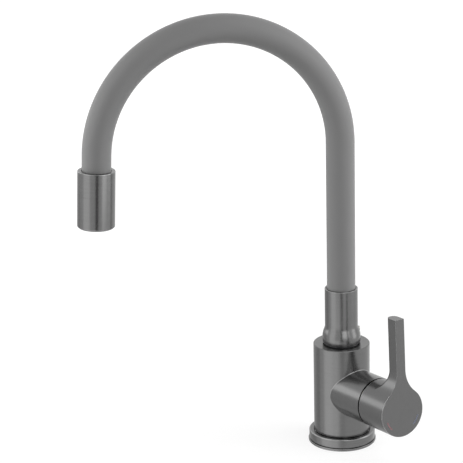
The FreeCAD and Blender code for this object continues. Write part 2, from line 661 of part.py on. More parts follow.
for mark, middle in [("hot_mark", "(-90 - mark_place)"), ("cold_mark", "(mark_place - 90)")]:
    recess = new_sketch(lever, mark + "_recess_outline", "YZ_Plane", "face_place")
    draw_outline(recess, mark_corners(middle))
    extrude(lever, mark + "_recess", recess, "mark_depth", cut=True)
    mark_body = new_body(mark)
    mark_outline = new_sketch(mark_body, mark + "_outline", "YZ_Plane", "face_place + running")
    draw_outline(mark_outline, mark_corners(middle))
    extrude(mark_body, mark + "_bar", mark_outline, "mark_depth", reverse=True)
    on_lever(mark_body)
on_lever(lever)

lever_screw = new_body("lever_screw")
screw_circle = new_sketch(lever_screw, "screw_circle", "XY_Plane", "-stem_side / 2 - screw_length")
draw_circle(screw_circle, SCREW_X, "0", "screw_radius")
extrude(lever_screw, "screw", screw_circle, "screw_length")
on_lever(lever_screw)

screw_plug = new_body("screw_plug")
plug_circle = new_sketch(screw_plug, "plug_circle", "XY_Plane", "-cap_radius + slack")
draw_circle(plug_circle, SCREW_X, "0", "plug_radius")
extrude(screw_plug, "plug", plug_circle, "plug_length - slack")
on_lever(screw_plug)


# Swivel: the spigot is screwed into the body, and the spout turns on it over two O-rings

SPOUT_FOOT = "body_top + glide_thick"
GROOVE = "(spigot_radius - 2 * oring_wire)"


def groove_corners(middle, half, bottom):
    """The corners, going up, of a square groove in the spigot's side."""
    low = "%s + %s - %s" % (SPOUT_FOOT, middle, half)
    high = "%s + %s + %s" % (SPOUT_FOOT, middle, half)
    return [("spigot_radius", low), (bottom, low), (bottom, high), ("spigot_radius", high)]


turned("swivel_spigot", [
    ("spigot_bore", "body_top - shank_length"),
    ("shank_radius - running", "body_top - shank_length"),
    ("shank_radius - running", "body_top"),
    ("spigot_flange", "body_top"),
    ("spigot_flange", SPOUT_FOOT + " - slack"),
    ("spigot_radius", SPOUT_FOOT + " - slack"),
] + groove_corners("oring_low", "oring_wire * 1.4", GROOVE)
  + groove_corners("latch_height", "latch_width / 2", "spigot_radius - latch_depth")
  + groove_corners("oring_high", "oring_wire * 1.4", GROOVE) + [
    ("spigot_radius", "body_top + spigot_height"),
    ("spigot_bore", "body_top + spigot_height"),
])

ring("glide_ring", "glide_inner", "glide_outer", "body_top", SPOUT_FOOT + " - running")

for place in ["oring_low", "oring_high"]:
    oring = doc.addObject("Part::Torus", "spigot_" + place)
    oring.Label = "spigot_" + place
    oring.setExpression("Radius1", bind(GROOVE + " + oring_wire"))
    oring.setExpression("Radius2", bind("oring_wire"))
    oring.setExpression("Placement.Base.z", bind(SPOUT_FOOT + " + " + place))


# Collar at the foot of the spout, with a ball that runs in a hollow curve into its upper part

HOLLOW_R = "(collar_radius + ball_fillet)"
HOLLOW_RISE = "sqrt((ball_radius + ball_fillet) ^ 2 - " + HOLLOW_R + " ^ 2)"
FOOT_DROP = "(ball_level - (" + SPOUT_FOOT + "))"
HOSE_SOCKET = "body_top + spigot_height + slack + collar_web"
collar = turned("spout_collar", [
    ("spigot_radius + running", SPOUT_FOOT),
    ("sqrt(ball_radius ^ 2 - " + FOOT_DROP + " ^ 2)", SPOUT_FOOT, "ball_radius", 1),
    ("ball_radius * " + HOLLOW_R + " / (ball_radius + ball_fillet)",
     "ball_level + ball_radius * " + HOLLOW_RISE + " / (ball_radius + ball_fillet)", "ball_fillet", -1),
    ("collar_radius", "ball_level + " + HOLLOW_RISE),
    ("collar_radius", "collar_top"),
    ("socket_radius", "collar_top"),
    ("socket_radius", HOSE_SOCKET),
    ("collar_bore", HOSE_SOCKET),
    ("collar_bore", HOSE_SOCKET + " - collar_web"),
    ("spigot_radius + running", HOSE_SOCKET + " - collar_web"),
])
LATCH_LEVEL = SPOUT_FOOT + " + latch_height"
drill(collar, "latch_hole", "XZ_Plane", "0", [("0", LATCH_LEVEL, "latch_screw + running")], "ball_radius + slack")
with_spout(collar)

# The grub screw at the back of the collar ends in the spigot's groove and keeps the spout on
latch = new_body("collar_screw")
latch_circle = new_sketch(latch, "latch_circle", "XZ_Plane", "-(spigot_radius - latch_depth + slack)")
draw_circle(latch_circle, "0", LATCH_LEVEL, "latch_screw")
extrude(latch, "latch", latch_circle, "ball_radius - spigot_radius + latch_depth - slack * 3", reverse=True)
with_spout(latch)


# Route of the hose in the spout's plane: up, round the arch and down into the head

SLEEVE_FOOT = "collar_top - socket_grip"
FERRULE_FOOT = HOSE_SOCKET + " + running"


def fitting(name, foot):
    """A hose fitting: a cup that grips the hose, with a hole through its closed end."""
    return turned(name, [
        ("ferrule_bore", foot),
        ("socket_radius - slack", foot),
        ("socket_radius - slack", foot + " + ferrule_length"),
        ("core_radius + running", foot + " + ferrule_length"),
        ("core_radius + running", foot + " + ferrule_wall"),
        ("ferrule_bore", foot + " + ferrule_wall"),
    ])


with_spout(fitting("ferrule_lower", FERRULE_FOOT))

bend_centre = FreeCAD.Vector(0, -value("bend_radius"), value("riser_top"))
sweep = math.radians(value("bend_angle"))
hose_foot = value(FERRULE_FOOT + " + ferrule_wall + slack")
riser_length = value("riser_top") - hose_foot
arch_length = value("bend_radius") * sweep


def on_route(distance):
    """The point of the hose's route at a distance from its foot, and the direction there."""
    if distance <= riser_length:
        return FreeCAD.Vector(0, 0, hose_foot + distance), FreeCAD.Vector(0, 0, 1)
    angle = min((distance - riser_length) / value("bend_radius"), sweep)
    outward = FreeCAD.Vector(0, math.cos(angle), math.sin(angle))
    forward = FreeCAD.Vector(0, -math.sin(angle), math.cos(angle))
    past = max(distance - riser_length - arch_length, 0.0)
    return bend_centre + outward * value("bend_radius") + forward * past, forward


def route_wire(start, end):
    """The stretch of the route between two distances, as straight edges and arcs."""
    stops = [start, riser_length, riser_length + arch_length, end]
    edges = []
    for low, high in zip(stops[:-1], stops[1:]):
        low = max(low, start)
        high = min(high, end)
        if high - low < 0.001:
            continue
        if low < riser_length or low >= riser_length + arch_length - 0.001:
            edges.append(Part.makeLine(on_route(low)[0], on_route(high)[0]))
        else:
            middle = on_route((low + high) / 2)[0]
            edges.append(Part.Arc(on_route(low)[0], middle, on_route(high)[0]).toShape())
    return Part.Wire(edges)


def rod_on_route(radius, start, end):
    """A round rod along a stretch of the route."""
    point, forward = on_route(start)
    circle = Part.Wire([Part.makeCircle(radius, point, forward)])
    return route_wire(start, end).makePipeShell([circle], True, True)


def pipe_on_route(outer, inner, start, end):
    return rod_on_route(outer, start, end).cut(rod_on_route(inner, start, end))


# Where the hose bends: two places on the riser and three on the arch
bend_places = [riser_length - value(depth) for depth in ("bend_low", "bend_high")]
for angle in ("first_bend_angle", "middle_bend_angle", "last_bend_angle"):
    bend_places.append(riser_length + value("bend_radius") * math.radians(value(angle)))


def hose_piece(name, outer, inner, foot, tip):
    """One length of a layer of the hose between two bending places.

    Its start is rounded about the bending place behind it and its end is hollowed about
    the one before it, so that two lengths can turn about that place and never meet.
    """
    ball = value("joint_ball")
    start = foot
    end = tip
    if isinstance(foot, int):
        start = bend_places[foot]
    if isinstance(tip, int):
        end = bend_places[tip]
    shape = pipe_on_route(outer, inner, start, end)
    if isinstance(tip, int):
        shape = shape.cut(Part.makeSphere(ball + value("joint_gap"), on_route(end)[0]))
    if isinstance(foot, int):
        behind = pipe_on_route(outer, inner, start - ball, start)
        shape = shape.fuse(behind.common(Part.makeSphere(ball, on_route(start)[0]))).removeSplitter()
    piece = doc.addObject("Part::Feature", name)
    piece.Label = name
    piece.Shape = shape.Solids[0] if len(shape.Solids) == 1 else shape
    return with_spout(piece)


head_rim = riser_length + arch_length + value("drop_length")
socket_end = head_rim + value("head_length - aerator_inset - aerator_height - aerator_seal - head_web")
hose_tip = socket_end - value("running + ferrule_wall + slack")
sleeve_start = value(SLEEVE_FOOT) - hose_foot
sleeve_end = head_rim + value("socket_grip")
LAYERS = [
    ("sleeve", value("sleeve_radius"), value("sleeve_bore"), sleeve_start, sleeve_end),
    ("gooseneck", value("core_radius"), value("core_bore"), 0.0, hose_tip),
    ("water_tube", value("tube_radius"), value("tube_bore"), 0.0, hose_tip),
]
for layer, outer, inner, foot, tip in LAYERS:
    stops = [foot] + list(range(len(bend_places))) + [tip]
    for count, (low, high) in enumerate(zip(stops[:-1], stops[1:]), 1):
        hose_piece("%s_%d" % (layer, count), outer, inner, low, high)


# Head: drawn about Z with its upper rim at zero, then set on the end of the route

def on_hose_end(body):
    rim, forward = on_route(head_rim)
    lean = FreeCAD.Rotation(FreeCAD.Vector(1, 0, 0), value("bend_angle - 180"))
    about = FreeCAD.Rotation(FreeCAD.Vector(0, 0, 1), value("spout_angle"))
    body.Placement = FreeCAD.Placement(about.multVec(rim), about.multiply(lean))
    return body


AERATOR_TOP = "(aerator_inset + aerator_height - head_length)"
HEAD_SOCKET = AERATOR_TOP + " + aerator_seal + head_web"
on_hose_end(turned("head_shell", [
    ("aerator_radius + running", "-head_length"),
    ("head_radius - head_edge", "-head_length"),
    ("head_radius", "head_edge - head_length"),
    ("head_radius", "-head_edge / 3"),
    ("head_radius - head_edge / 3", "0"),
    ("socket_radius", "0"),
    ("socket_radius", HEAD_SOCKET),
    ("collar_bore", HEAD_SOCKET),
    ("collar_bore", HEAD_SOCKET + " - head_web"),
    ("aerator_radius + running", HEAD_SOCKET + " - head_web"),
]))
on_hose_end(fitting("ferrule_upper", HEAD_SOCKET + " + running"))
on_hose_end(ring("aerator_seal_ring", "aerator_radius - aerator_wall * 2", "aerator_radius - running",
                 AERATOR_TOP + " + running", AERATOR_TOP + " + aerator_seal"))
on_hose_end(turned("aerator_ring", [
    ("aerator_radius - aerator_wall * 1.6", AERATOR_TOP + " - aerator_height"),
    ("aerator_radius", AERATOR_TOP + " - aerator_height"),
    ("aerator_radius", AERATOR_TOP),
    ("aerator_radius - aerator_wall", AERATOR_TOP),
    ("aerator_radius - aerator_wall", AERATOR_TOP + " - aerator_height + mesh_thick"),
    ("aerator_radius - aerator_wall * 1.6", AERATOR_TOP + " - aerator_height + mesh_thick"),
]))
INSERT_FOOT = AERATOR_TOP + " - aerator_height + mesh_thick * 2"
aerator_insert = ring("aerator_insert", "chamber_radius / 3", "aerator_radius - aerator_wall - running",
                      INSERT_FOOT, AERATOR_TOP)
on_hose_end(aerator_insert)
aerator_mesh = turned("aerator_mesh", box_corners(
    "0", "aerator_radius - aerator_wall - running", INSERT_FOOT + " - mesh_thick", INSERT_FOOT))
on_hose_end(aerator_mesh)


# Every object is checked before the pieces are written

doc.recompute()
faults = [item.Name for item in doc.Objects if "Invalid" in item.State or "Error" in item.State]
pieces = [item for item in doc.Objects
          if item.TypeId in ("PartDesign::Body", "Part::Feature", "Part::Torus")]
faults += [item.Label for item in pieces if item.Shape.isNull() or not item.Shape.isValid()]
faults += [item.Label for item in pieces if len(item.Shape.Solids) != 1]
if faults:
    raise RuntimeError("Faulty pieces: " + ", ".join(faults))

os.makedirs("parts", exist_ok=True)
for piece in pieces:
    piece.Shape.exportStep(os.path.join("parts", piece.Label + ".step"))
print(len(pieces), "pieces written")
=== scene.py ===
import math

import bmesh
import bpy
import numpy as np
from mathutils import Matrix, Vector


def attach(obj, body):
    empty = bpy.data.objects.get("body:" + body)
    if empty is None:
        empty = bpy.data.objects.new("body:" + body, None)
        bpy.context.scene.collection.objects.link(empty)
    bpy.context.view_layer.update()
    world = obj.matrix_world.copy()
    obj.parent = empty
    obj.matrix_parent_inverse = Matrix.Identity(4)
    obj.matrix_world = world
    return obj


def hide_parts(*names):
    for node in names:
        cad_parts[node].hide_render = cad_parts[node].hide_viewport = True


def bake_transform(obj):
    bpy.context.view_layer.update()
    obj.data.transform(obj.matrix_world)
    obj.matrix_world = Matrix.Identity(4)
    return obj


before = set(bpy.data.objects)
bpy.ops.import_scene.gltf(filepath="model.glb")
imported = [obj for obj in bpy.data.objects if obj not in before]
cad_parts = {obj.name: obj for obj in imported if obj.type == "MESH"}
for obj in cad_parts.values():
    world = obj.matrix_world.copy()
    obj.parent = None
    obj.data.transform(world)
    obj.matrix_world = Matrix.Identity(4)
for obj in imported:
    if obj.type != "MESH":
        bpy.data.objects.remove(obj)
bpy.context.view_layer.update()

# Kitchen mixer tap: the CAD frame dressed with its finishes, a smooth silicone hose and softened edges.
# Lengths are in metres in the CAD frame: +Z up, +X along the branch, and the spout near -Y.

MM = 0.001
UP = np.array([0.0, 0.0, 1.0])
BODY_RADIUS = 22.5 * MM


# Helpers

def linear(code):
    """The linear colour of an sRGB hex value such as "#75767a"."""
    channels = np.array([int(code[i:i + 2], 16) for i in (1, 3, 5)]) / 255
    lit = np.where(channels <= 0.04045, channels / 12.92, ((channels + 0.055) / 1.055) ** 2.4)
    return (*lit, 1.0)


def add_node(tree, kind, settings=None, inputs=None):
    """Add a node; an input is a value, or the output socket that it is linked to."""
    node = tree.nodes.new(kind)
    for name, setting in (settings or {}).items():
        setattr(node, name, setting)
    for name, given in (inputs or {}).items():
        if isinstance(given, bpy.types.NodeSocket):
            tree.links.new(given, node.inputs[name])
        else:
            node.inputs[name].default_value = given
    return node


def new_material(name, shader_inputs):
    """A material with one Principled shader; the inputs may be linked afterwards."""
    material = bpy.data.materials.new(name)
    material.use_nodes = True
    tree = material.node_tree
    tree.nodes.clear()
    shader = add_node(tree, "ShaderNodeBsdfPrincipled", inputs=shader_inputs)
    add_node(tree, "ShaderNodeOutputMaterial", inputs={"Surface": shader.outputs["BSDF"]})
    return material, tree, shader


def new_mesh(name, points, faces, smooth=True):
    """An object whose mesh has the given points and faces."""
    mesh = bpy.data.meshes.new(name)
    mesh.from_pydata(points.reshape(-1, 3).tolist(), [], faces.tolist())
    mesh.update()
    mesh.shade_smooth() if smooth else mesh.shade_flat()
    mesh.set_sharp_from_angle(angle=math.radians(40))
    piece = bpy.data.objects.new(name, mesh)
    bpy.context.scene.collection.objects.link(piece)
    return piece


def grid_faces(rows, columns):
    """Quads of a grid that is closed both ways: each joins a point, its two neighbours and the one across."""
    row, column = np.meshgrid(np.arange(rows), np.arange(columns), indexing="ij")
    after = (row + 1) % rows
    beside = (column + 1) % columns
    here, there = row * columns, after * columns
    corners = [here + column, here + beside, there + beside, there + column]
    return np.stack(corners, axis=-1).reshape(-1, 4)


def paint(piece, material):
    piece.data.materials.clear()
    piece.data.materials.append(material)


# Materials

def brushed_gunmetal(name, tone, spread, along_branch=None):
    """Gunmetal PVD coating over brass that was brushed on a lathe.

    The lathe leaves hair lines round the turned axis, so highlights stretch along that axis.
    spread is how far the lines run in metres along X, Y and Z. along_branch is the spread
    that takes over outside the upright body, where the branch's own axis rules.
    """
    material, tree, shader = new_material(name, {"Metallic": 1.0})
    place = add_node(tree, "ShaderNodeTexCoord").outputs["Object"]
    lines = line_pattern(tree, place, spread)
    if along_branch:
        flat = add_node(tree, "ShaderNodeVectorMath", {"operation": "MULTIPLY"}, {0: place, 1: (1, 1, 0)})
        from_axis = add_node(tree, "ShaderNodeVectorMath", {"operation": "LENGTH"}, {0: flat.outputs[0]})
        on_branch = add_node(tree, "ShaderNodeMath", {"operation": "GREATER_THAN"},
                             {0: from_axis.outputs["Value"], 1: BODY_RADIUS + 0.1 * MM})
        branch_lines = line_pattern(tree, place, along_branch)
        lines = add_node(tree, "ShaderNodeMix", {"data_type": "FLOAT"},
                         {0: on_branch.outputs[0], 2: lines, 3: branch_lines}).outputs[0]
    shade = add_node(tree, "ShaderNodeValToRGB", inputs={"Fac": lines})
    shade.color_ramp.elements[0].position = 0.25
    shade.color_ramp.elements[0].color = linear(tone[0])
    shade.color_ramp.elements[1].position = 0.75
    shade.color_ramp.elements[1].color = linear(tone[1])
    tree.links.new(shade.outputs["Color"], shader.inputs["Base Color"])
    rough = add_node(tree, "ShaderNodeMapRange", inputs={"Value": lines, "To Min": 0.2, "To Max": 0.29})
    tree.links.new(rough.outputs["Result"], shader.inputs["Roughness"])
    relief = add_node(tree, "ShaderNodeBump", inputs={
        "Height": lines, "Strength": 0.12, "Distance": 0.02 * MM})
    tree.links.new(relief.outputs["Normal"], shader.inputs["Normal"])
    return material


def line_pattern(tree, place, spread):
    """Noise drawn out into lines: its scale along each axis is one over the spread there."""
    stretched = add_node(tree, "ShaderNodeMapping", inputs={
        "Vector": place, "Scale": tuple(1 / length for length in spread)})
    noise = add_node(tree, "ShaderNodeTexNoise", inputs={
        "Vector": stretched.outputs["Vector"], "Scale": 1.0, "Detail": 3.0, "Roughness": 0.6})
    return noise.outputs["Fac"]


def grained(name, colour, roughness, grain, depth, metallic=0.0, ior=1.5, spread=None, sheen=0.0):
    """A plain finish with a fine grain of its own: grain is its width in metres, depth its relief."""
    material, tree, shader = new_material(name, {
        "Metallic": metallic, "IOR": ior, "Sheen Weight": sheen, "Sheen Roughness": 0.4})
    place = add_node(tree, "ShaderNodeTexCoord").outputs["Object"]
    marks = line_pattern(tree, place, spread or (grain, grain, grain))
    dark = tuple(0.9 * channel for channel in linear(colour)[:3]) + (1.0,)
    shade = add_node(tree, "ShaderNodeMix", {"data_type": "RGBA"}, {0: marks, 6: dark, 7: linear(colour)})
    tree.links.new(shade.outputs[2], shader.inputs["Base Color"])
    rough = add_node(tree, "ShaderNodeMapRange", inputs={
        "Value": marks, "To Min": roughness - 0.05, "To Max": roughness + 0.05})
    tree.links.new(rough.outputs["Result"], shader.inputs["Roughness"])
    relief = add_node(tree, "ShaderNodeBump", inputs={"Height": marks, "Strength": 0.3, "Distance": depth})
    tree.links.new(relief.outputs["Normal"], shader.inputs["Normal"])
    return material


# Hair lines of the brushing: how wide one is, and how far it runs
HAIR = 0.22 * MM
RUN = 18 * MM

gunmetal_upright = brushed_gunmetal("gunmetal_turned_upright", ("#6a6a6a", "#757575"), (RUN, RUN, HAIR))
gunmetal_casting = brushed_gunmetal("gunmetal_turned_casting", ("#6a6a6a", "#757575"), (RUN, RUN, HAIR),
                                    along_branch=(HAIR, RUN, RUN))
gunmetal_lever = brushed_gunmetal("gunmetal_brushed_lever", ("#686868", "#707070"), (HAIR, HAIR, RUN))
# Edges painted paler than the faces: a painted highlight, as thin bright lines, brightest on the handled
# lever
gunmetal_edge_highlight = grained("gunmetal_edges_painted_highlight", "#8f8f8f", 0.25, 0.4 * MM, 0.004 * MM, metallic=1.0)
lever_edge_highlight = grained("gunmetal_lever_painted_highlight", "#d2d2d2", 0.5, 0.4 * MM, 0.004 * MM, metallic=1.0)
# Moulded silicone: matt, with a faint dry mottle and no gloss except at a grazing angle
silicone = grained("silicone_moulded", "#767676", 0.55, 0.5 * MM, 0.01 * MM, ior=1.41, sheen=0.35)
# Nitrile rubber of the seals: near black, a little glossy where it was trimmed
nitrile = grained("nitrile_moulded", "#1c1c1d", 0.45, 0.3 * MM, 0.01 * MM, ior=1.52)
# Turned brass, left bare inside: yellow, with fine tool lines
brass = grained("brass_turned", "#c9a45c", 0.28, 0.2 * MM, 0.01 * MM, metallic=1.0, spread=(RUN, RUN, HAIR))
# Stainless steel of screws, pin, stem and mesh: turned, a little warm
stainless = grained("stainless_turned", "#a8a7a4", 0.3, 0.2 * MM, 0.01 * MM, metallic=1.0)
# Alumina discs: lapped flat, off-white and dense
alumina = grained("alumina_lapped", "#e6e1d6", 0.18, 0.15 * MM, 0.002 * MM, ior=1.76)
# Acetal of the cartridge: moulded, slightly waxy
acetal_white = grained("acetal_moulded_white", "#d9d8d3", 0.4, 0.4 * MM, 0.006 * MM, ior=1.48)
acetal_grey = grained("acetal_moulded_grey", "#3a3a3c", 0.42, 0.4 * MM, 0.006 * MM, ior=1.48)
# Polyethylene water tube: extruded, milky grey
polyethylene = grained("polyethylene_extruded", "#a9abad", 0.45, 0.6 * MM, 0.008 * MM, ior=1.51)
# Enamel filled into the two recesses on the lever: flat, slightly pale from its thin coat
enamel_hot = grained("enamel_hot", "#7c585c", 0.4, 0.3 * MM, 0.004 * MM)
enamel_cold = grained("enamel_cold", "#5d6174", 0.4, 0.3 * MM, 0.004 * MM)

FINISHES = {
    gunmetal_upright: ["base_ring", "spout_collar", "head_shell", "aerator_ring"],
    gunmetal_casting: ["body_casting"],
    gunmetal_lever: ["lever"],
    nitrile: ["worktop_seal", "spigot_oring_low", "spigot_oring_high", "port_seal_hot", "port_seal_cold",
              "port_seal_mixed", "aerator_seal_ring"],
    brass: ["swivel_spigot", "retaining_nut", "ferrule_lower", "ferrule_upper"],
    stainless: ["stem_pin", "stem", "lever_screw", "collar_screw", "aerator_mesh"],
    alumina: ["fixed_disc", "moving_disc"],
    acetal_white: ["cartridge_base", "cartridge_housing", "carrier", "aerator_insert"],
    acetal_grey: ["glide_ring", "disc_driver", "screw_plug"],
    enamel_hot: ["hot_mark"],
    enamel_cold: ["cold_mark"],
}
for finish, names in FINISHES.items():
    for node_name in names:
        paint(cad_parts[node_name], finish)


# Metal shells with softened edges

SMALL_FACE = 4 * MM ** 2
FLAT_WITHIN = math.radians(0.3)
SHARP_FROM = math.radians(28)


def soften(node_name, body, width, finish, highlight_finish=gunmetal_edge_highlight, merge=0.002 * MM, highlight_test=None):
    """A shell that shows in place of a CAD node, with its sharp edges rounded to the given width.

    The CAD mesh's loose triangles are joined, flat ones are merged, and a bevel rounds what is left.
    Points nearer than merge become one, which closes the hair step where the lever's flares end.
    Large faces rule the shading, so that small ones beside them don't bend it.
    The bevel's faces take the second finish, a paler edge colour that paints a highlight; a small face where
    the given test on the faces' centres holds takes it as well.
    """
    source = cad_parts[node_name]
    mesh = bpy.data.meshes.new(node_name + "_finished")
    work = bmesh.new()
    work.from_mesh(source.data)
    bmesh.ops.remove_doubles(work, verts=work.verts, dist=merge)
    bmesh.ops.dissolve_limit(work, angle_limit=FLAT_WITHIN, verts=work.verts, edges=work.edges)
    work.to_mesh(mesh)
    work.free()
    mesh.shade_smooth()
    piece = bpy.data.objects.new(node_name + "_finished", mesh)
    bpy.context.scene.collection.objects.link(piece)
    paint(piece, finish)
    # The second slot, on the bevels, is the paler edge colour: a painted highlight
    piece.data.materials.append(highlight_finish)
    if highlight_test:
        centres = np.empty(3 * len(mesh.polygons))
        areas = np.empty(len(mesh.polygons))
        mesh.polygons.foreach_get("center", centres)
        mesh.polygons.foreach_get("area", areas)
        marked = highlight_test(centres.reshape(-1, 3)) & (areas < SMALL_FACE)
        mesh.polygons.foreach_set("material_index", marked.astype(np.int32))
    bevel = piece.modifiers.new("softened", "BEVEL")
    bevel.width = width
    bevel.segments = 3
    bevel.limit_method = "ANGLE"
    bevel.angle_limit = SHARP_FROM
    bevel.material = 1
    shading = piece.modifiers.new("shading", "WEIGHTED_NORMAL")
    shading.weight = 100
    shading.keep_sharp = True
    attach(piece, body)
    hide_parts(node_name)
    return piece


def rounded(corners, steps=5):
    """A closed outline of (radius, height) points, with each corner cut by an arc.

    A corner is (radius, height, fillet). The arc's ends lie fillet * tan(half the turn) from the corner,
    and its points are a quadratic curve between them. The second result marks the arcs' points.
    """
    points, edges = [], []
    count = len(corners)
    for index, (radius, height, fillet) in enumerate(corners):
        here = np.array([radius, height])
        before = np.array(corners[index - 1][:2]) - here
        after = np.array(corners[(index + 1) % count][:2]) - here
        before = before / np.linalg.norm(before)
        after = after / np.linalg.norm(after)
        if fillet == 0:
            points.append(here[None])
            edges.append([False])
            continue
        half_turn = (math.pi - math.acos(np.clip(before @ after, -1, 1))) / 2
        setback = fillet * math.tan(half_turn)
        share = np.linspace(0, 1, steps)[:, None]
        curve = ((1 - share) ** 2 * (here + setback * before) + 2 * share * (1 - share) * here
                 + share ** 2 * (here + setback * after))
        points.append(curve)
        edges.append([True] * (steps - 1) + [False])
    return np.concatenate(points), np.concatenate(edges)


def turned(node_name, body, outline, edges, finish, sides=160):
    """A piece turned about the upright axis in place of a CAD node.

    Its points are radius * cos, radius * sin and height, for each turn and each point of the outline.
    outline holds the closed profile's radii and heights; edges marks the stretches with the paler edge
    colour, a painted highlight.
    """
    turn = np.linspace(0, 2 * math.pi, sides, endpoint=False)
    radius, height = outline[:, :1], outline[:, 1:]
    points = np.stack([radius * np.cos(turn), radius * np.sin(turn),
                       np.broadcast_to(height, (len(outline), sides))], axis=-1)
    piece = new_mesh(node_name + "_finished", points, grid_faces(len(outline), sides)[:, ::-1])
    paint(piece, finish)
    # The second slot, on the rounded edges, is the paler edge colour: a painted highlight
    piece.data.materials.append(gunmetal_edge_highlight)
    piece.data.polygons.foreach_set("material_index", np.repeat(edges, sides).astype(np.int32))
    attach(piece, body)
    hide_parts(node_name)
    return piece


# Base ring: a lip on the worktop, a fine groove over it, a plain wall and a rounded shoulder
RING_RADIUS = 26.5 * MM
RING_HEIGHT = 10 * MM
RING_BORE = 22.8 * MM
RING_HOLLOW = 22.4 * MM
RING_HOLLOW_TOP = 3 * MM
LIP_RADIUS = 27.2 * MM
LIP_EDGE = 0.8 * MM
LIP_HEIGHT = 2.3 * MM
GROOVE_RADIUS = 26.0 * MM
GROOVE_FOOT = LIP_HEIGHT + 0.2 * MM
GROOVE_TOP = LIP_HEIGHT + 0.9 * MM
GROOVE_SLOPE = 0.2 * MM
ring_outline, ring_edges = rounded([
    (RING_HOLLOW, 0.2 * MM, 0), (LIP_RADIUS - LIP_EDGE, 0.0, 0), (LIP_RADIUS, LIP_EDGE, 0.5 * MM),
    (LIP_RADIUS, LIP_HEIGHT, 0.3 * MM), (RING_RADIUS, LIP_HEIGHT + 0.05 * MM, 0),
    (GROOVE_RADIUS, GROOVE_FOOT, 0), (GROOVE_RADIUS, GROOVE_TOP, 0),
    (RING_RADIUS, GROOVE_TOP + GROOVE_SLOPE, 0.2 * MM), (RING_RADIUS, RING_HEIGHT, 1.0 * MM),
    (RING_BORE, RING_HEIGHT, 0.2 * MM), (RING_BORE, RING_HOLLOW_TOP, 0)])
turned("base_ring", "tap_body", ring_outline, ring_edges, gunmetal_upright)

# Collar: a ball that runs upwards in a hollow curve into a straight wall. Below its middle it is drawn out,
# because depth counts there by a share only.
BALL_RADIUS = 15.2 * MM
BALL_LEVEL = 88.9 * MM
DEPTH_SHARE = 0.5
COLLAR_RADIUS = 13.15 * MM
COLLAR_BLEND = 0.42 * MM
SPOUT_FOOT = 84.5 * MM
COLLAR_TOP = 129.4 * MM
COLLAR_BORE = 12 * MM
COLLAR_WEB = 106 * MM
SOCKET_RADIUS = 11.6 * MM
FOOT_CHAMFER = 0.3 * MM
WALL_START = SPOUT_FOOT + FOOT_CHAMFER
WALL_END = COLLAR_TOP - 0.4 * MM
height = np.linspace(WALL_START, WALL_END, 90)
over = np.maximum(height - BALL_LEVEL, 0)
under = DEPTH_SHARE * np.maximum(BALL_LEVEL - height, 0)
ball = np.sqrt(np.maximum(BALL_RADIUS ** 2 - over ** 2 - under ** 2, 0))
# The larger of ball and wall, joined smoothly: blend * ln(exp(ball / blend) + exp(wall / blend))
wall = COLLAR_BLEND * np.logaddexp(ball / COLLAR_BLEND, COLLAR_RADIUS / COLLAR_BLEND)
rim, rim_edges = rounded([
    (COLLAR_BORE, COLLAR_WEB, 0), (COLLAR_BORE, SPOUT_FOOT, 0), (wall[0] - FOOT_CHAMFER, SPOUT_FOOT, 0)])
top, top_edges = rounded([
    (COLLAR_RADIUS, WALL_END, 0), (COLLAR_RADIUS, COLLAR_TOP, 0.35 * MM),
    (SOCKET_RADIUS, COLLAR_TOP, 0.15 * MM), (SOCKET_RADIUS, COLLAR_WEB, 0)])
turned("spout_collar", "spout_foot",
       np.concatenate([rim, np.stack([wall, height], axis=-1), top[1:]]),
       np.concatenate([rim_edges, np.zeros(len(height), bool), top_edges[1:]]), gunmetal_upright)

BRANCH_LEVEL = 45 * MM
BRANCH_TILT = math.radians(3)
BRANCH_RADIUS = 19.5 * MM
SADDLE_FILLET = 0.6 * MM


def saddle_highlight(places):
    """True on the upper half of the fillet where the branch leaves the body, near both their walls: the lit
    side, where the fillet gets a painted highlight.
    """
    rise = (places[:, 2] - BRANCH_LEVEL) * math.cos(BRANCH_TILT) - places[:, 0] * math.sin(BRANCH_TILT)
    from_body = np.hypot(places[:, 0], places[:, 1]) - BODY_RADIUS
    from_branch = np.hypot(places[:, 1], rise) - BRANCH_RADIUS
    near = np.maximum(np.abs(from_body), np.abs(from_branch)) < SADDLE_FILLET
    return near & (rise > 0) & (places[:, 0] > 0)


# The casting's bevels and upper saddle, and the lever's edges, take the paler edge colour as a painted
# highlight
soften("body_casting", "tap_body", 0.25 * MM, gunmetal_casting, highlight_test=saddle_highlight)
soften("lever", "lever", 0.55 * MM, gunmetal_lever, lever_edge_highlight, merge=0.09 * MM)
soften("head_shell", "spout_head", 0.3 * MM, gunmetal_upright)


# Flexible hose: three layers, each in five lengths with one joint apiece

SPOUT_ANGLE = math.radians(-20)
RISER_TOP = 248.2 * MM
ARCH_RADIUS = 95.3 * MM
ARCH_ANGLE = math.radians(177.2)
HEAD_DROP = 11.5 * MM
SLEEVE_FOOT = 123.4 * MM
SLEEVE_GRIP = 6 * MM
CORE_FOOT = 111.0 * MM
CORE_GRIP = 25.3 * MM
# Joints: two below the riser's top, and three at these degrees round the arch
BEND_DEPTHS = (76 * MM, 26 * MM)
BEND_ANGLES = (40, 90, 140)
RISER_LENGTH = RISER_TOP - SLEEVE_FOOT
ARCH_LENGTH = ARCH_RADIUS * ARCH_ANGLE
BENDS = [RISER_LENGTH - depth for depth in BEND_DEPTHS]
BENDS += [RISER_LENGTH + ARCH_RADIUS * math.radians(angle) for angle in BEND_ANGLES]
HEAD_RIM = RISER_LENGTH + ARCH_LENGTH + HEAD_DROP
SIDE = np.array([math.cos(SPOUT_ANGLE), math.sin(SPOUT_ANGLE), 0.0])
REACH = np.array([math.sin(SPOUT_ANGLE), -math.cos(SPOUT_ANGLE), 0.0])


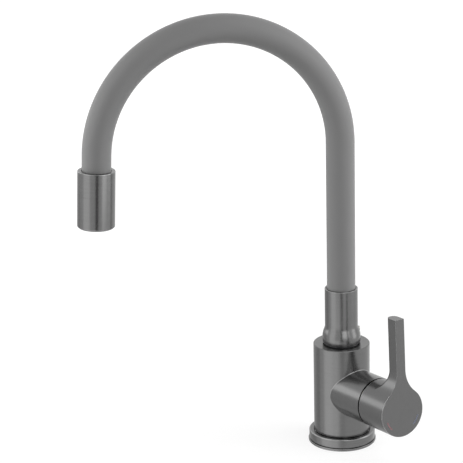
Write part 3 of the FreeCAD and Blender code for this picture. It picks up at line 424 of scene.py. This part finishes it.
def on_route(distance):
    """Points and directions of the hose's middle line: up the riser, round the arch, down into the head.

    The angle round the arch is the distance past the riser over the arch's radius, held between
    nothing and the whole arch; what is left before or after it is straight.
    """
    distance = np.asarray(distance, float)[..., None]
    angle = np.clip((distance - RISER_LENGTH) / ARCH_RADIUS, 0.0, ARCH_ANGLE)
    before = np.minimum(distance, RISER_LENGTH)
    past = np.maximum(distance - RISER_LENGTH - ARCH_LENGTH, 0.0)
    direction = np.sin(angle) * REACH + np.cos(angle) * UP
    outward = np.sin(angle) * UP - np.cos(angle) * REACH
    centre = ARCH_RADIUS * REACH
    point = SLEEVE_FOOT * UP + before * UP + centre + ARCH_RADIUS * outward + past * direction
    return point, direction


def tube_points(start, end, outer, inner, sides=64, step=2 * MM):
    """A closed tube along the route: rings of points at a radius round the route's point,
    with the outer wall going out and the inner wall coming back."""
    count = max(int(math.ceil((end - start) / step)), 2) + 1
    point, direction = on_route(np.linspace(start, end, count))
    across = np.broadcast_to(SIDE, point.shape)
    upward = np.cross(direction, across)
    turn = np.linspace(0, 2 * math.pi, sides, endpoint=False)
    spoke = (np.cos(turn)[None, :, None] * across[:, None, :]
             + np.sin(turn)[None, :, None] * upward[:, None, :])
    outer_wall = point[:, None, :] + outer * spoke
    inner_wall = point[:, None, :] + inner * spoke
    return np.concatenate([outer_wall, inner_wall[::-1]])


def hose_length(layer, number, start, end, outer, inner, finish, nodes):
    """One length of a layer, built along the route in place of its CAD nodes."""
    points = tube_points(start, end, outer, inner)
    piece = new_mesh("%s_length_%d" % (layer, number), points, grid_faces(*points.shape[:2])[:, ::-1])
    paint(piece, finish)
    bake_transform(piece)
    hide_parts(*nodes)


# Layer, its CAD nodes' name, outer and inner radius, foot and tip along the route, finish and slot
LAYERS = [
    ("silicone_cover", "sleeve", 11.25 * MM, 8.8 * MM, 0.0, HEAD_RIM + SLEEVE_GRIP, silicone, "silicone"),
    ("gooseneck_core", "gooseneck", 8.7 * MM, 6.4 * MM, CORE_FOOT - SLEEVE_FOOT, HEAD_RIM + CORE_GRIP,
     stainless, "steel"),
    ("water_pipe", "water_tube", 6.2 * MM, 4.2 * MM, CORE_FOOT - SLEEVE_FOOT, HEAD_RIM + CORE_GRIP,
     polyethylene, "tube_plastic"),
]
for layer, node, outer, inner, foot, tip, finish, slot in LAYERS:
    stops = [foot] + [(low + high) / 2 for low, high in zip(BENDS[:-1], BENDS[1:])] + [tip]
    for number, (start, end) in enumerate(zip(stops[:-1], stops[1:]), 1):
        nodes = ["%s_%d" % (node, number)] + (["%s_6" % node] if number == 5 else [])
        hose_length(layer, number, start, end, outer, inner, finish, nodes)


# Studio: the camera was fitted to edges in the photograph, at a chosen distance from its aim

CAMERA_DISTANCE = 1.5
CAMERA_AZIMUTH = math.radians(57.526)
CAMERA_ELEVATION = math.radians(16.906)
CAMERA_ROLL = math.radians(-1.377)
CAMERA_LENS = 148.61
SENSOR_WIDTH = 36.0
AIM_ASIDE = -85.781 * MM
AIM_HEIGHT = 177.955 * MM

aside = np.array([math.cos(CAMERA_AZIMUTH), math.sin(CAMERA_AZIMUTH), 0.0])
back = np.array([math.sin(CAMERA_AZIMUTH) * math.cos(CAMERA_ELEVATION),
                 -math.cos(CAMERA_AZIMUTH) * math.cos(CAMERA_ELEVATION), math.sin(CAMERA_ELEVATION)])
overhead = np.cross(back, aside)
right = math.cos(CAMERA_ROLL) * aside + math.sin(CAMERA_ROLL) * overhead
above = math.cos(CAMERA_ROLL) * overhead - math.sin(CAMERA_ROLL) * aside
aim = AIM_ASIDE * aside + AIM_HEIGHT * UP

lens = bpy.data.cameras.new("camera")
lens.lens = CAMERA_LENS
lens.sensor_width = SENSOR_WIDTH
camera = bpy.data.objects.new("camera", lens)
bpy.context.scene.collection.objects.link(camera)
turned_to = Matrix((right, above, back)).transposed()
camera.matrix_world = Matrix.Translation(Vector(aim + CAMERA_DISTANCE * back)) @ turned_to.to_4x4()
bpy.context.scene.camera = camera


def softbox(name, direction_degrees, distance, height, size, radiance, tilt_degrees=0):
    """A soft area lamp for the matt surfaces; its power is its radiance times pi times its area.

    It stands at an angle round the tap, measured from the camera's side, faces the tap's axis,
    and looks down by the tilt.
    """
    angle = CAMERA_AZIMUTH + math.radians(direction_degrees)
    place = Vector((math.sin(angle) * distance, -math.cos(angle) * distance, height))
    level_or_down = Matrix.Rotation(math.radians(90 - tilt_degrees), 4, "X")
    lamp = bpy.data.lights.new(name, "AREA")
    lamp.shape = "RECTANGLE"
    lamp.size, lamp.size_y = size
    lamp.energy = radiance * math.pi * size[0] * size[1]
    box = bpy.data.objects.new(name, lamp)
    bpy.context.scene.collection.objects.link(box)
    box.matrix_world = Matrix.Translation(place) @ Matrix.Rotation(angle, 4, "Z") @ level_or_down
    box.visible_camera = False
    box.visible_glossy = False


CARD_FADE = 70 * MM
CARD_STRIPS = 12


def card(name, directions, distance, heights, radiance):
    """A curved studio card that only the metal mirrors, as a band of its own brightness.

    It is part of an upright cylinder round the tap: the sine and minus cosine of the angle times
    the distance, from the first direction to the second, measured from the camera's side. Its
    brightness fades into the white around it over CARD_FADE at its lower edge.
    """
    angle = CAMERA_AZIMUTH + np.radians(np.linspace(directions[0], directions[1], CARD_STRIPS + 1))
    ring = distance * np.stack([np.sin(angle), -np.cos(angle)], axis=-1)
    points = np.array([[(*place, height) for place in ring] for height in heights])
    column = np.arange(CARD_STRIPS)
    upper = column + CARD_STRIPS + 1
    faces = np.stack([column, column + 1, upper + 1, upper], axis=-1)
    piece = new_mesh(name, points, faces)
    material, tree, shader = new_material(name, {
        "Base Color": (0, 0, 0, 1), "Roughness": 1.0, "Specular IOR Level": 0.0,
        "Emission Color": (1, 1, 1, 1)})
    place = add_node(tree, "ShaderNodeTexCoord").outputs["Object"]
    height = add_node(tree, "ShaderNodeSeparateXYZ", inputs={"Vector": place}).outputs["Z"]
    fade = add_node(tree, "ShaderNodeMapRange", {"interpolation_type": "SMOOTHSTEP"}, {
        "Value": height, "From Min": heights[0], "From Max": heights[0] + CARD_FADE,
        "To Min": 1.0, "To Max": radiance})
    tree.links.new(fade.outputs["Result"], shader.inputs["Emission Strength"])
    paint(piece, material)
    piece.visible_camera = False
    piece.visible_shadow = False
    piece.visible_diffuse = False
    piece.visible_transmission = False


softbox("softbox_left", -75, 1.3, 0.1, (1.2, 1.8), 3.4)
softbox("softbox_right", 80, 1.3, 0.1, (1.2, 1.8), 4.3)
softbox("softbox_top", 60, 0.9, 1.6, (1.2, 1.2), 2.2, tilt_degrees=58)
card("card_left", (-80, -42), 1.3, (-1.5, 1.6), 1.65)
card("card_left_low", (-42, -16), 0.5, (-0.5, -0.055), 1.5)
card("card_camera", (-8, 8), 1.7, (-0.95, 1.2), 0.05)
card("card_camera_low", (-8, 8), 0.5, (-0.5, -0.065), 0.85)
card("card_right_near", (2, 46), 0.3, (0.055, 0.6), 2.2)
card("card_right", (70, 95), 1.3, (-0.22, 1.2), 2.2)
card("card_behind_left", (-176, -104), 1.3, (-1.5, 0.0), 0.62)
card("card_side_left", (-132, -97), 1.3, (0.09, 0.54), 2.2)

# White floor: it glows for the camera, all white from SHADOW_FAR on. Nearer the tap it glows less, and
# light on it makes up the rest, so that the soft shadow stays.
FLOOR_HALF = 20.0
FLOOR_GLOW = 0.81
SHADOW_NEAR = 0.25
SHADOW_FAR = 0.8
floor = new_mesh("floor", FLOOR_HALF * np.array([[-1, -1, 0], [1, -1, 0], [1, 1, 0], [-1, 1, 0]], float),
                 np.array([[0, 1, 2, 3]]), smooth=False)
floor_white = bpy.data.materials.new("floor_white")
floor_white.use_nodes = True
tree = floor_white.node_tree
tree.nodes.clear()
rays = add_node(tree, "ShaderNodeLightPath")
lit = add_node(tree, "ShaderNodeBsdfDiffuse", inputs={"Color": linear("#8c8c8c")})
faint = add_node(tree, "ShaderNodeBsdfDiffuse", inputs={"Color": (0.25, 0.25, 0.25, 1.0)})
place = add_node(tree, "ShaderNodeTexCoord").outputs["Object"]
from_tap = add_node(tree, "ShaderNodeVectorMath", {"operation": "LENGTH"}, {0: place})
level = add_node(tree, "ShaderNodeMapRange", inputs={
    "Value": from_tap.outputs["Value"], "From Min": SHADOW_NEAR, "From Max": SHADOW_FAR,
    "To Min": FLOOR_GLOW, "To Max": 1.0})
glow = add_node(tree, "ShaderNodeEmission", inputs={
    "Color": (1, 1, 1, 1), "Strength": level.outputs["Result"]})
shown = add_node(tree, "ShaderNodeAddShader", inputs={0: faint.outputs[0], 1: glow.outputs[0]})
mixed = add_node(tree, "ShaderNodeMixShader", inputs={
    0: rays.outputs["Is Camera Ray"], 1: lit.outputs[0], 2: shown.outputs[0]})
add_node(tree, "ShaderNodeOutputMaterial", inputs={"Surface": mixed.outputs[0]})
paint(floor, floor_white)
floor.visible_glossy = False
floor.visible_shadow = False

# World: white behind the tap and in its metal, and a softer fill for everything else

WORLD_FILL = 0.35

world = bpy.data.worlds.new("studio")
world.use_nodes = True
bpy.context.scene.world = world
tree = world.node_tree
tree.nodes.clear()
rays = add_node(tree, "ShaderNodeLightPath")
mirrored = add_node(tree, "ShaderNodeMath", {"operation": "MAXIMUM"}, {
    0: rays.outputs["Is Camera Ray"], 1: rays.outputs["Is Glossy Ray"]})
seen = add_node(tree, "ShaderNodeMath", {"operation": "MAXIMUM"}, {
    0: mirrored.outputs[0], 1: rays.outputs["Is Transmission Ray"]})
strength = add_node(tree, "ShaderNodeMapRange", inputs={
    "Value": seen.outputs[0], "To Min": WORLD_FILL, "To Max": 1.0})
sky = add_node(tree, "ShaderNodeBackground", inputs={
    "Color": (1, 1, 1, 1), "Strength": strength.outputs["Result"]})
add_node(tree, "ShaderNodeOutputWorld", inputs={"Surface": sky.outputs[0]})

bpy.context.scene.view_settings.view_transform = "Standard"
